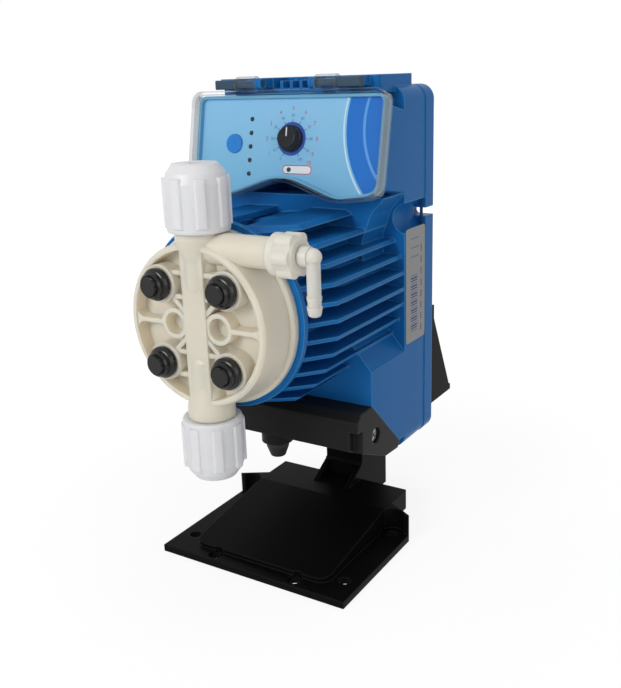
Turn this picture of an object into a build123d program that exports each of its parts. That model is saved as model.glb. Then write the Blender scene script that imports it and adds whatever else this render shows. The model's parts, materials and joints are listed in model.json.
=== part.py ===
from build123d import *
import os
from math import atan, cos, degrees, radians, sin

# A diaphragm metering pump on its mounting foot, in millimetres, +Z up, front facing -Y.
# The origin is the centre of the foot's four anchor holes, on the floor.

# ---------------------------------------------------------------- driving dimensions
# casing
case_width = 107.0
case_height = 199.4
case_bottom = 54.5
case_corner = 8.0
case_wall = 4.0
cover_depth = 9.5             # back cover, from the wall forwards
cover_proud = 0.5
cover_skin = 3.5
box_depth = 35.0              # full-width rear box, from the wall forwards
waist_depth = 58.0
skirt_depth = 74.0
skirt_top = 58.0              # above the casing's bottom, at its sides
head_face = 125.5             # where the pump head seats, from the wall
axis_height = 95.3            # drum axis above the casing's bottom
wall_y = 73.5                 # back of the pump behind the foot's centre

# finned drum
drum_r = 41.0
drum_nose_r = 37.0
drum_step = 78.0
ring_r = 46.5
ring_depth = 5.0
bore_r = 33.5
nose_wall = 13.5
fin_pitch = 8.7
fin_root = 3.0
fin_tip = 1.9
fin_front = 106.0
fin_offset = -1.5

# control box, panel and lid
panel_tilt = degrees(atan(0.2097))
panel_below_top = 23.9        # panel's middle line, below the casing's top
panel_ref_depth = 63.3
panel_thick = 3.5
panel_overhang = 3.4          # panel beyond the casing, each side
panel_rim = 1.5
panel_rim_height = 2.5
lid_gap = 0.3
lid_wall = 1.6
lid_front = 7.8
lid_lap = 1.2
lid_top = 22.8
lid_corner = 6.0
lid_side = -29.5
lid_low_corner = 9.0
lid_dip = -33.0
lid_dip_x = 33.0
lid_dip_r = 22.0
lid_arch = -21.5
lid_arch_r = 30.0
ear_boss_in = 2.4             # lid's finger bosses, in from the panel's edge
ear_boss_v = -25.0
board_gap = 8.9
board_thick = 1.6

# hinge of the lid
hinge_above_top = 2.7
hinge_behind_panel = 1.3
pin_r = 1.8
lug_x = 24.3
lug_width = 12.0
lug_r = 4.0

# pump head
head_r = 43.5
head_rim_depth = 22.3
head_flange = 4.5
head_wall_r = 41.3            # behind the rim, at the flange
rim_r = 38.8
rim_width = 2.4
pocket_depth = 7.5
column_width = 13.0
rib = 2.2
chamber_r = 20.0
chamber_depth = 3.8
bolt_spacing = 38.4
boss_r = 9.2
boss_front = 23.3
bolt_r = 2.5
cap_r = 7.8
cap_height = 8.0

# valves
valve_depth = 139.5
neck_r = 11.6
thread_r = 10.0
valve_bore_r = 7.0
nut_r = 15.5
nut_length = 30.5
top_nut_from = 44.2
bottom_nut_from = 47.0
nut_wall = 5.0
hose_r = 3.0
ball_r = 3.2
ball_lift = 1.5

# bleed valve
bleed_height = 36.4
bleed_boss_r = 7.35
bleed_boss_end = 41.0
bleed_knob_r = 10.5
bleed_knob_length = 13.7
bleed_tube_r = 3.3
bleed_tube_x = 61.0
bleed_drop = 26.4

# drive
stroke = 1.25
rod_r = 4.0
armature_r = 13.0

# connector cover
connector_front = 90.0
connector_top = 93.5
connector_low = 73.0
connector_skin = 2.5
gland_x = -9.0
gland_depth = 72.0
cable_r = 3.1

# mounting foot
foot_half = 59.6
foot_front = -45.7
foot_corner = 31.1
foot_rear = 59.5
foot_plate = 4.0
foot_rise = 16.7
foot_wall = 3.0
ramp_half = 44.0
ramp_nose = 6.5
anchor_x = 101.0
anchor_y = 56.0
anchor_r = 3.3
front_hole_x = 52.6
front_hole_y = -39.7
column_half = 12.8
column_front = 12.4
column_back = 20.0
saddle_depth = 29.4
saddle_bottom = 69.7
saddle_top = 130.0
saddle_plate = 4.0
saddle_rib = 3.5

# fasteners
case_screw_r = 1.75
bracket_screw_r = 2.0
screw_clear = 0.05
running = 0.05

# ---------------------------------------------------------------- derived places
case_half = case_width / 2
case_top = case_bottom + case_height
axis_z = case_bottom + axis_height
panel_ref_z = case_top - panel_below_top
hinge_z = case_top + hinge_above_top
hinge_depth = panel_ref_depth - hinge_behind_panel
valve_y = wall_y - valve_depth
bleed_z = axis_z + bleed_height
tilt_sin = sin(radians(panel_tilt))
tilt_cos = cos(radians(panel_tilt))
fin_reach = case_half         # the fins end level with the casing's sides
panel_half = case_half + panel_overhang
ear_boss_x = panel_half - ear_boss_in
lid_half = panel_half + lid_gap + lid_wall


def front_plane(depth, height=0.0):
    """Plane facing forwards, at a depth in front of the wall; local x, z."""
    return Plane((0, wall_y - depth, height), x_dir=(1, 0, 0), z_dir=(0, -1, 0))


def panel_level(height):
    """Plane parallel to the tilted panel, at a height above its face."""
    face = Plane((0, wall_y - panel_ref_depth, panel_ref_z), x_dir=(1, 0, 0),
                 z_dir=(0, -tilt_cos, tilt_sin))
    return face.offset(height)


side_plane = Plane.YZ
panel_axis = Axis((0, 0, 0), (0, -tilt_cos, tilt_sin))
drum_plane = Plane((0, wall_y, axis_z), x_dir=(1, 0, 0), z_dir=(0, 0, -1))
drum_axis = Axis((0, wall_y, axis_z), (0, -1, 0))
valve_plane = Plane((0, valve_y, axis_z), x_dir=(1, 0, 0), z_dir=(0, -1, 0))
valve_axis = Axis((0, valve_y, axis_z), (0, 0, 1))
bleed_axis = Axis((0, valve_y, bleed_z), (1, 0, 0))
gland_plane = Plane((gland_x, wall_y - gland_depth, 0), x_dir=(1, 0, 0), z_dir=(0, -1, 0))
gland_axis = Axis((gland_x, wall_y - gland_depth, 0), (0, 0, 1))


def outline(points):
    """Filled polygon, for use in an open sketch."""
    with BuildSketch(mode=Mode.PRIVATE) as drawn:
        with BuildLine():
            Polyline(*points, close=True)
        make_face()
    return drawn.sketch


def turned(points, plane, axis):
    """Solid of revolution of a polygon of (radius, along) points."""
    with BuildPart(mode=Mode.PRIVATE) as lathe:
        with BuildSketch(plane):
            add(outline(points))
        revolve(axis=axis)
    return lathe.part


def slab(points, plane, amount, both=False):
    """Polygon extruded along its plane's normal."""
    with BuildPart(mode=Mode.PRIVATE) as cut:
        with BuildSketch(plane):
            add(outline(points))
        extrude(amount=amount, both=both)
    return cut.part


def rod(plane, radius, length, centre=(0, 0)):
    """Round bar that stands on a plane."""
    with BuildPart(mode=Mode.PRIVATE) as bar:
        with BuildSketch(plane):
            with Locations(centre):
                Circle(radius)
        extrude(amount=length)
    return bar.part


def y_at(depth):
    """Y of a depth in front of the wall."""
    return wall_y - depth


def face_outline(inset=0.0):
    """Outline of the lid: round corners, and a lower edge that arches over the drum."""
    with BuildSketch(mode=Mode.PRIVATE) as shape:
        with BuildLine():
            Polyline((-lid_half, lid_side), (-lid_dip_x, lid_dip), (0, lid_arch), (lid_dip_x, lid_dip),
                     (lid_half, lid_side), (lid_half, lid_top), (-lid_half, lid_top), close=True)
        make_face()
        corners = shape.vertices().sort_by(Axis.Y)
        fillet(corners[-2:], lid_corner)
        fillet(shape.vertices().filter_by_position(Axis.X, -1, 1), lid_arch_r)
        fillet(shape.vertices().filter_by_position(Axis.Y, lid_dip - 0.1, lid_dip + 0.1), lid_dip_r)
        fillet(shape.vertices().filter_by_position(Axis.Y, lid_side - 0.1, lid_side + 0.1), lid_low_corner)
        if inset:
            offset(amount=-inset)
    return shape.sketch


# ---------------------------------------------------------------- mounting foot
foot_plan = [(-foot_half, foot_front), (foot_half, foot_front), (foot_half, foot_corner),
             (column_half, foot_rear),
             (-column_half, foot_rear), (-foot_half, foot_corner)]
rear_plan = [(-foot_half, foot_corner), (foot_half, foot_corner), (column_half, foot_rear),
             (-column_half, foot_rear)]
column_y = y_at(column_front)
column_end = y_at(-column_back)
saddle_end = y_at(-saddle_depth)
ramp_start = foot_front + 9.0
ramp_side = [(ramp_start, foot_plate), (ramp_start, ramp_nose), (foot_corner, foot_rise),
             (foot_rear, foot_rise),
             (foot_rear, foot_plate)]
ramp_hollow = [(ramp_start + foot_wall, 0), (ramp_start + foot_wall, ramp_nose - foot_wall),
               (foot_corner, foot_rise - foot_wall), (foot_rear + foot_wall, foot_rise - foot_wall),
               (foot_rear + foot_wall, 0)]
anchor_holes = [(sx * anchor_x / 2, sy * anchor_y / 2) for sx in (-1, 1) for sy in (-1, 1)]
bracket_holes = [(sx * 38.0, z) for sx in (-1, 1) for z in (84.0, 120.0)]

with BuildPart() as mounting_foot:
    with BuildSketch():
        add(outline(foot_plan))
    extrude(amount=foot_plate)
    with BuildSketch(Plane.XY.offset(foot_plate)):
        add(outline(rear_plan))
    extrude(amount=foot_rise - foot_plate)
    add(slab(ramp_side, side_plane, ramp_half, both=True))
    ramp_corners = mounting_foot.edges().filter_by(Axis.Z).filter_by_position(Axis.Y, ramp_start - 1,
                                                                              ramp_start + 1)
    fillet(ramp_corners, 7)
    # open underside with two long ribs and a cross rib
    add(slab(ramp_hollow, side_plane, ramp_half - foot_wall, both=True), mode=Mode.SUBTRACT)
    for rib_x in (-ramp_half / 3, ramp_half / 3):
        with BuildSketch(Plane.YZ.offset(rib_x)):
            add(outline(ramp_hollow))
        extrude(amount=foot_wall / 2, both=True)
    with BuildSketch(Plane.YZ):
        with Locations((10, (foot_plate + 2) / 2)):
            Rectangle(foot_wall, foot_plate + 2)
    extrude(amount=ramp_half - 1, both=True)
    # column that carries the pump, open at the back
    with BuildSketch():
        with Locations((0, (column_y + column_end) / 2)):
            Rectangle(2 * column_half, column_end - column_y)
    extrude(amount=case_bottom)
    with BuildSketch(Plane.XY.offset(case_bottom)):
        with Locations((0, (wall_y + column_end) / 2)):
            Rectangle(2 * column_half, column_end - wall_y)
    extrude(amount=saddle_bottom - case_bottom)
    gusset = [(column_y - 17.6, foot_rise), (column_y, foot_rise + 9.8), (column_y, foot_rise)]
    for side in (-1, 1):
        with BuildSketch(Plane.YZ.offset(side * (column_half - foot_wall / 2))):
            add(outline(gusset))
        extrude(amount=foot_wall / 2, both=True)
    with BuildSketch(Plane.YZ):
        with Locations((column_y, foot_rise + 9.2)):
            Rectangle(2.4, 1.6)
    extrude(amount=column_half, both=True)
    with BuildSketch(Plane.XY.offset(foot_plate)):
        with Locations((0, (column_y + column_end) / 2 + foot_wall)):
            Rectangle(2 * (column_half - foot_wall), column_end - column_y)
    extrude(amount=case_bottom - 2 * foot_plate, mode=Mode.SUBTRACT)
    for web_z in (22.0, 40.0):
        with BuildSketch(Plane.XY.offset(web_z)):
            with Locations((0, (column_y + column_end) / 2)):
                Rectangle(2 * column_half, column_end - column_y)
        extrude(amount=2.5)
    # saddle behind the pump: plate, flared lower part, shelf and tapered side gussets
    saddle_plan = [(-case_half, saddle_bottom), (-column_half, saddle_bottom - case_half + column_half),
                   (column_half, saddle_bottom - case_half + column_half), (case_half, saddle_bottom),
                   (case_half, saddle_top), (-case_half, saddle_top)]
    add(slab(saddle_plan, front_plane(-saddle_plate), saddle_plate))
    with BuildSketch(Plane.XY.offset(saddle_bottom)):
        with Locations((0, (wall_y + saddle_end) / 2)):
            Rectangle(case_width, saddle_depth)
    extrude(amount=saddle_rib)
    wedge = [(wall_y, saddle_top), (saddle_end, saddle_bottom), (wall_y, saddle_bottom)]
    for rib_x in (-case_half + saddle_rib / 2, -column_half, column_half, case_half - saddle_rib / 2):
        with BuildSketch(Plane.YZ.offset(rib_x)):
            add(outline(wedge))
        extrude(amount=saddle_rib / 2, both=True)
    # holes
    with Locations(*[(x, y, foot_plate) for x, y in anchor_holes]):
        Hole(anchor_r)
    with BuildSketch(Plane.XY.offset(foot_plate)):
        with Locations((-anchor_x / 2, anchor_y / 2), (anchor_x / 2, anchor_y / 2)):
            Circle(7)
    extrude(amount=foot_rise, mode=Mode.SUBTRACT)
    with Locations((-front_hole_x / 2, front_hole_y, foot_plate),
                   (front_hole_x / 2, front_hole_y, foot_plate)):
        CounterBoreHole(2.6, 4.2, 1.6)
    for x, z in bracket_holes:
        add(rod(front_plane(-saddle_plate - 1, z), bracket_screw_r + 0.3, saddle_plate + 1, (x, 0)),
            mode=Mode.SUBTRACT)
mounting_foot.part.label = "mounting_foot"

with BuildPart() as bracket_screws:
    for x, z in bracket_holes:
        add(rod(front_plane(-saddle_plate, z), bracket_screw_r, saddle_plate + 8, (x, 0)))
        add(rod(front_plane(-saddle_plate - 2.4, z), 2 * bracket_screw_r, 2.4, (x, 0)))
bracket_screws.part.label = "bracket_screws"

# ---------------------------------------------------------------- back cover and gasket
notch_z = case_bottom + 131.7
notch_half = 2.3
notch_in = 44.0
channel_r = 8.0
case_screws_at = [(sx * (case_half - 7.5), z) for sx in (-1, 1)
                  for z in (case_bottom + 8, case_bottom + 88, case_top - 8)]

with BuildPart() as back_cover:
    with BuildSketch(front_plane(0)):
        with Locations((0, (case_bottom + case_top) / 2)):
            RectangleRounded(case_width + 2 * cover_proud, case_height, case_corner)
    extrude(amount=cover_depth)
    with BuildSketch(front_plane(cover_skin)):
        with Locations((0, (case_bottom + case_top) / 2)):
            RectangleRounded(case_width - 2 * case_wall, case_height - 2 * case_wall,
                             case_corner - case_wall)
        with Locations((-case_half, notch_z), (case_half, notch_z)):
            Rectangle(2 * (case_half - notch_in + 6), 2 * notch_half + 8, mode=Mode.SUBTRACT)
        with Locations(*bracket_holes, *case_screws_at):
            Circle(5, mode=Mode.SUBTRACT)
    extrude(amount=cover_depth, mode=Mode.SUBTRACT)
    with BuildSketch(front_plane(0)):
        with Locations((-case_half, notch_z), (case_half, notch_z)):
            Rectangle(2 * (case_half - notch_in - notch_half), 2 * notch_half)
        with Locations((-notch_in - notch_half, notch_z), (notch_in + notch_half, notch_z)):
            Circle(notch_half)
    extrude(amount=cover_depth, mode=Mode.SUBTRACT)
    for x, z in bracket_holes:
        add(rod(front_plane(0, z), bracket_screw_r + screw_clear, 8.3, (x, 0)), mode=Mode.SUBTRACT)
    for x, z in case_screws_at:
        add(rod(front_plane(0, z), case_screw_r + 0.3, cover_depth, (x, 0)), mode=Mode.SUBTRACT)
        add(rod(front_plane(0, z), 2 * case_screw_r + 0.3, 2.4, (x, 0)), mode=Mode.SUBTRACT)
back_cover.part.label = "back_cover"

with BuildPart() as case_screws:
    for x, z in case_screws_at:
        add(rod(front_plane(2.4, z), case_screw_r, 20, (x, 0)))
        add(rod(front_plane(0.4, z), 2 * case_screw_r, 2, (x, 0)))
case_screws.part.label = "case_screws"

gasket_width = 1.4
gasket_depth = 1.2
gasket_out = case_half - 1.3
with BuildPart() as case_gasket:
    with BuildSketch(front_plane(cover_depth)):
        with Locations((0, (case_bottom + case_top) / 2)):
            RectangleRounded(2 * gasket_out, case_height - 2 * (case_half - gasket_out), case_corner - 1.3)
            RectangleRounded(2 * (gasket_out - gasket_width),
                             case_height - 2 * (case_half - gasket_out + gasket_width),
                             case_corner - 1.3 - gasket_width, mode=Mode.SUBTRACT)
    extrude(amount=gasket_depth)
case_gasket.part.label = "case_gasket"

# ---------------------------------------------------------------- housing
skirt_z = case_bottom + skirt_top
diag_low = (33.9, case_bottom)
diag_high = (skirt_depth, case_bottom + (skirt_depth - diag_low[0]) * 0.975)
waist_x = drum_r - 0.5
box_top_z = 200.0
cap_top_z = case_top + 5.6
cap_half = 48.0
cap_notch = 14.0
drum_front = head_face - ring_depth
cap_back = 13.0
cap_front = hinge_depth - 9.0
ear_x = 14.5
ear_width = 3.5
ear_r = 2.9
block_x = 31.0
block_length = 12.6
block_depth = hinge_depth - 2.6
bush_r = 12.2
seat_r = 24.6
seat_depth = 4.0
bolt_grip = 12.0
bolt_places = [(sx * bolt_spacing / 2, sz * bolt_spacing / 2) for sx in (-1, 1) for sz in (-1, 1)]


def half_outline(points):
    """Mirrors a right-hand chain of points into a closed outline."""
    return points + [(-x, z) for x, z in reversed(points)]


def side_outline(points):
    """Turns (depth, height) points into side-plane points."""
    return [(y_at(depth), z) for depth, z in points]


# fins: level plates, thinner at their tips, trimmed to a round envelope with a swept front
with BuildPart() as fins:
    with BuildSketch(front_plane(box_depth, axis_z)):
        for step in range(-5, 6):
            level = fin_offset + step * fin_pitch
            for side in (-1, 1):
                add(outline([(side * drum_nose_r * 0.3, level - fin_root / 2),
                             (side * fin_reach, level - fin_tip / 2),
                             (side * fin_reach, level + fin_tip / 2),
                             (side * drum_nose_r * 0.3, level + fin_root / 2)]))
    extrude(amount=drum_front - box_depth + 4)
    add(turned([(0, box_depth), (fin_reach, box_depth), (fin_reach, fin_front),
                (ring_r - 3, drum_front + 1),
                (0, drum_front + 1)], drum_plane, drum_axis), mode=Mode.INTERSECT)

with BuildPart() as housing:
    # full-width rear box
    with BuildSketch(front_plane(cover_depth)):
        with Locations((0, (case_bottom + case_top) / 2)):
            RectangleRounded(case_width, case_height, case_corner)
    extrude(amount=box_depth - cover_depth)
    # waist and skirt in front of it
    waist = half_outline([(case_half, case_bottom + case_corner), (case_half, skirt_z),
                          (waist_x + 2, skirt_z + 13),
                          (waist_x, skirt_z + 30), (waist_x, box_top_z - 22), (waist_x + 5, box_top_z - 9),
                          (case_half, box_top_z)])
    add(slab(waist, front_plane(box_depth), waist_depth - box_depth))
    skirt = half_outline([(case_half, case_bottom + case_corner), (case_half, skirt_z),
                          (waist_x + 2, skirt_z + 13),
                          (waist_x - 8, skirt_z + 16)])
    add(slab(skirt, front_plane(box_depth), skirt_depth - box_depth))
    # control box behind the tilted panel
    with BuildSketch(panel_level(-panel_thick)):
        add(face_outline(lid_half - case_half))
    extrude(amount=-30)
    # raised cap across the top, notched between the hinges
    with BuildSketch(Plane.XY.offset(case_top - 3)):
        with Locations((0, y_at((cap_back + cap_front) / 2))):
            RectangleRounded(2 * cap_half, cap_front - cap_back, 3)
    extrude(amount=cap_top_z - case_top + 3)
    with BuildSketch(Plane.XY.offset(case_top)):
        with Locations((0, y_at(cap_front - 7))):
            Rectangle(2 * cap_notch, 14)
    extrude(amount=cap_top_z - case_top, mode=Mode.SUBTRACT)
    # drum, its collar and the fins
    add(turned([(0, box_depth), (drum_r, box_depth), (drum_r, drum_step), (drum_nose_r, drum_step + 7),
                (drum_nose_r, drum_front - 6), (ring_r, drum_front + 2), (ring_r, head_face),
                (0, head_face)],
               drum_plane, drum_axis))
    add(fins.part)
    # sloping cut under the skirt, where the connector cover fits
    add(slab(side_outline([diag_low, (diag_high[0] + 6, diag_high[1] + 5.85),
                           (diag_high[0] + 6, case_bottom - 6),
                           (diag_low[0] - 6.15, case_bottom - 6)]), side_plane, case_width, both=True),
                           mode=Mode.SUBTRACT)
    # screwdriver channels in front of the wall slots
    for side in (-1, 1):
        add(rod(front_plane(cover_depth, notch_z), channel_r, waist_depth, (side * (case_half + 1), 0)),
            mode=Mode.SUBTRACT)
    # hinge ears: an inner eye and an outer arm for each pin
    for side in (-1, 1):
        with BuildSketch(Plane.YZ.offset(side * (ear_x + ear_width / 2))):
            with Locations((y_at(hinge_depth), hinge_z)):
                Circle(ear_r)
            with Locations((y_at((cap_front + hinge_depth) / 2 - 1), (hinge_z + ear_r + case_top + 1) / 2)):
                Rectangle(hinge_depth - cap_front + 2, hinge_z + ear_r - case_top - 1)
        extrude(amount=ear_width / 2, both=True)
        with BuildSketch(Plane.YZ.offset(side * (block_x + block_length / 2))):
            with Locations((y_at((cap_front + block_depth) / 2 - 1), (hinge_z + ear_r + case_top + 1) / 2)):
                Rectangle(block_depth - cap_front + 2, hinge_z + ear_r - case_top - 1)
        extrude(amount=block_length / 2, both=True)
        add(rod(Plane.YZ.offset(side * ear_x - 5), pin_r + running, 10 + ear_width,
                (y_at(hinge_depth), hinge_z)),
            mode=Mode.SUBTRACT)
    # ribs in the notch between the hinges
    for rib_x in (-9.0, -3.0, 3.0, 9.0):
        with BuildSketch(Plane.YZ.offset(rib_x)):
            with Locations((y_at(cap_front - 7), case_top + 1.5)):
                Rectangle(14, 5)
        extrude(amount=0.8, both=True)
    # inside: rear chamber with screw posts, board space, coil bore, rod hole, diaphragm seat
    with BuildSketch(front_plane(cover_depth)):
        with Locations((0, (case_bottom + case_top) / 2)):
            RectangleRounded(case_width - 2 * case_wall, case_height - 2 * case_wall,
                             case_corner - case_wall)
        with Locations((-case_half - 1, notch_z), (case_half + 1, notch_z)):
            Circle(channel_r + 3, mode=Mode.SUBTRACT)
        with Locations(*case_screws_at):
            Circle(5, mode=Mode.SUBTRACT)
    extrude(amount=box_depth - case_wall - cover_depth, mode=Mode.SUBTRACT)
    with BuildSketch(panel_level(-panel_thick)):
        with Locations((0, 0.5)):
            Rectangle(2 * (case_half - case_wall), 35)
    extrude(amount=-28, mode=Mode.SUBTRACT)
    add(turned([(0, box_depth - case_wall - 1), (bore_r, box_depth - case_wall - 1),
                (bore_r, head_face - nose_wall),
                (bush_r, head_face - nose_wall), (bush_r, head_face - seat_depth),
                (seat_r, head_face - seat_depth),
                (seat_r, head_face), (0, head_face)], drum_plane, drum_axis), mode=Mode.SUBTRACT)
    for x, z in bolt_places:
        add(rod(front_plane(head_face - bolt_grip, axis_z), bolt_r + screw_clear, bolt_grip, (x, z)),
            mode=Mode.SUBTRACT)
    for x, z in case_screws_at:
        add(rod(front_plane(cover_depth, z), case_screw_r + screw_clear, 14, (x, 0)), mode=Mode.SUBTRACT)
    add(case_gasket.part, mode=Mode.SUBTRACT)
    # room for the upper hose nut in front of the ring
    with BuildSketch(Plane.XY.offset(axis_z + top_nut_from - 0.8)):
        with Locations((0, valve_y)):
            Circle(nut_r + 0.6)
    extrude(amount=12, mode=Mode.SUBTRACT)
housing.part.label = "housing"

with BuildPart() as hinge_pins:
    for side in (-1, 1):
        with BuildSketch(Plane.YZ.offset(side * (block_x + block_length / 2))):
            with Locations((y_at((block_depth + hinge_depth + 2.6) / 2), hinge_z)):
                RectangleRounded(hinge_depth + 2.6 - block_depth, 4.8, 0.8)
        extrude(amount=block_length / 2, both=True)
        with BuildSketch(Plane.YZ.offset(side * (block_x + ear_x) / 2)):
            with Locations((y_at(hinge_depth), hinge_z)):
                Circle(pin_r)
        extrude(amount=(block_x - ear_x) / 2, both=True)
hinge_pins.part.label = "hinge_pins"

# ---------------------------------------------------------------- lid, panel and controls

with BuildPart() as clear_lid:
    with BuildSketch(panel_level(-lid_lap)):
        add(face_outline())
    extrude(amount=lid_front + lid_lap)
    fillet(clear_lid.faces().sort_by(panel_axis)[-1].edges(), 1.3)
    with BuildSketch(panel_level(-lid_lap)):
        with Locations((-ear_boss_x, ear_boss_v), (ear_boss_x, ear_boss_v)):
            Circle(4)
    extrude(amount=lid_front + lid_lap + 0.6)
    with BuildSketch(panel_level(-lid_lap)):
        add(face_outline(lid_wall))
    extrude(amount=lid_front + lid_lap - lid_wall, mode=Mode.SUBTRACT)
    with BuildSketch(panel_level(-lid_lap)):
        with Locations((0, lid_top - 4)):
            Rectangle(2 * (panel_half + lid_gap), 10)
    extrude(amount=lid_lap + 3, mode=Mode.SUBTRACT)
    for side in (-1, 1):
        with BuildSketch(Plane.YZ.offset(side * lug_x)):
            with Locations((y_at(hinge_depth), hinge_z)):
                Circle(lug_r)
            add(outline([(y_at(hinge_depth - 1), hinge_z), (y_at(hinge_depth + 4), hinge_z),
                         (y_at(hinge_depth + 4), hinge_z - 5), (y_at(hinge_depth + 0.5), hinge_z - 5)]))
        extrude(amount=lug_width / 2, both=True)
        add(rod(Plane.YZ.offset(side * lug_x - lug_width), pin_r + running, 2 * lug_width,
                (y_at(hinge_depth), hinge_z)),
            mode=Mode.SUBTRACT)
clear_lid.part.label = "clear_lid"

button_at = (-33.3, -3.7)
button_r = 5.0
lamp_x = -22.8
lamp_v = [9.1 - 7.1 * step for step in range(5)]
lamp_r = 1.2
dial_at = (2.8, -0.9)
alarm_at = (2.4, -16.6)
knob_r = 6.8
knob_height = 5.8
shaft_r = 3.0

with BuildPart() as control_panel:
    with BuildSketch(panel_level(-panel_thick)):
        add(face_outline(lid_gap + lid_wall))
    extrude(amount=panel_thick + panel_rim_height)
    with BuildSketch(panel_level(0)):
        add(face_outline(lid_gap + lid_wall + panel_rim))
    extrude(amount=panel_rim_height, mode=Mode.SUBTRACT)
    with BuildSketch(panel_level(-panel_thick)):
        with Locations(button_at):
            Circle(button_r + 0.15)
        with Locations(dial_at):
            Circle(shaft_r + 0.3)
        with Locations(*[(lamp_x, v) for v in lamp_v], alarm_at):
            Circle(lamp_r + 0.05)
    extrude(amount=panel_thick, mode=Mode.SUBTRACT)
control_panel.part.label = "control_panel"

with BuildPart() as select_button:
    add(rod(panel_level(-panel_thick - 0.2), button_r, panel_thick + 1.0, button_at))
    add(rod(panel_level(-panel_thick - 1.7), button_r + 1.6, 1.5, button_at))
select_button.part.label = "select_button"

with BuildPart() as speed_knob:
    with BuildSketch(panel_level(0.3)):
        with Locations(dial_at):
            Circle(knob_r)
    extrude(amount=1.6)
    with BuildSketch(panel_level(1.9)):
        with Locations(dial_at):
            Circle(knob_r - 0.8)
    extrude(amount=knob_height - 2.2, taper=8)
    fillet(speed_knob.faces().sort_by(panel_axis)[-1].edges(), 0.5)
    with BuildSketch(panel_level(knob_height - 1.3)):
        with Locations((dial_at[0], dial_at[1] + 3.0)):
            Rectangle(0.9, 4.6)
    extrude(amount=2, mode=Mode.SUBTRACT)
    add(rod(panel_level(0), shaft_r, knob_height - 2.0, dial_at), mode=Mode.SUBTRACT)
speed_knob.part.label = "speed_knob"

board_level = -panel_thick - board_gap
with BuildPart() as knob_shaft:
    add(rod(panel_level(board_level + 4.0), shaft_r, knob_height - 2.0 - board_level - 4.0, dial_at))
knob_shaft.part.label = "knob_shaft"

with BuildPart() as speed_potentiometer:
    with BuildSketch(panel_level(board_level)):
        with Locations(dial_at):
            RectangleRounded(14, 14, 1.5)
    extrude(amount=6.4)
    add(rod(panel_level(board_level + 6.4), shaft_r + 1.2, 1.6, dial_at))
    add(rod(panel_level(board_level + 3.9), shaft_r + running, 8, dial_at), mode=Mode.SUBTRACT)
speed_potentiometer.part.label = "speed_potentiometer"

with BuildPart() as indicator_lamps:
    for v in lamp_v:
        add(rod(panel_level(-panel_thick), lamp_r, 0.5 + panel_thick, (lamp_x, v)))
    fillet(indicator_lamps.faces().sort_by(panel_axis)[-5:].edges(), 0.5)
indicator_lamps.part.label = "indicator_lamps"

with BuildPart() as alarm_lamp:
    add(rod(panel_level(-panel_thick), lamp_r, 0.5 + panel_thick, alarm_at))
    fillet(alarm_lamp.faces().sort_by(panel_axis)[-1].edges(), 0.5)
alarm_lamp.part.label = "alarm_lamp"

with BuildPart() as button_switch:
    with BuildSketch(panel_level(board_level)):
        with Locations(button_at):
            RectangleRounded(6, 6, 0.6)
    extrude(amount=board_gap - 3.4)
    add(rod(panel_level(-panel_thick - 3.4), 1.7, 0.9, button_at))
button_switch.part.label = "button_switch"

with BuildPart() as control_board:
    with BuildSketch(panel_level(board_level - board_thick)):
        with Locations((0, -1.5)):
            RectangleRounded(2 * (case_half - case_wall) - 4, 29, 2)
    extrude(amount=board_thick)
    with BuildSketch(panel_level(board_level)):
        with Locations((30, 4), (30, -8), (41, -2)):
            Rectangle(8, 5)
    extrude(amount=1.8)
control_board.part.label = "control_board"

# ---------------------------------------------------------------- power board
with BuildPart() as power_board:
    with BuildSketch(front_plane(cover_depth + 3)):
        with Locations((0, axis_z)):
            RectangleRounded(78, 130, 3)
    extrude(amount=board_thick)
    with BuildSketch(front_plane(cover_depth + 3 + board_thick)):
        with Locations((-20, axis_z - 40), (18, axis_z - 44)):
            RectangleRounded(24, 20, 1)
    extrude(amount=9)
power_board.part.label = "power_board"

with BuildPart() as board_capacitors:
    for x in (-22, 0, 22):
        add(rod(front_plane(cover_depth + 3 + board_thick, axis_z + 48), 6, 12, (x, 0)))
board_capacitors.part.label = "board_capacitors"

with BuildPart() as board_pillars:
    for x in (-32, 32):
        for z in (-58, 58):
            add(rod(front_plane(cover_skin, axis_z + z), 3, cover_depth + 3 - cover_skin, (x, 0)))
board_pillars.part.label = "board_pillars"

# ---------------------------------------------------------------- connector cover
side_screw_at = (70.0, 76.0)
diag_inner = (44.4, diag_low[1] + (44.4 - diag_low[0]) * 0.975)
connector_side = [(41.8, 62.2), (skirt_depth, diag_high[1]), (connector_front - 4, connector_top),
                  (connector_front, connector_top - 4), (connector_front, connector_low), (59.4, 59.6),
                  (44.4, 58.8)]
diag_run = (skirt_depth - diag_low[0], diag_high[1] - diag_low[1])
corner_notch = 5.0

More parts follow.
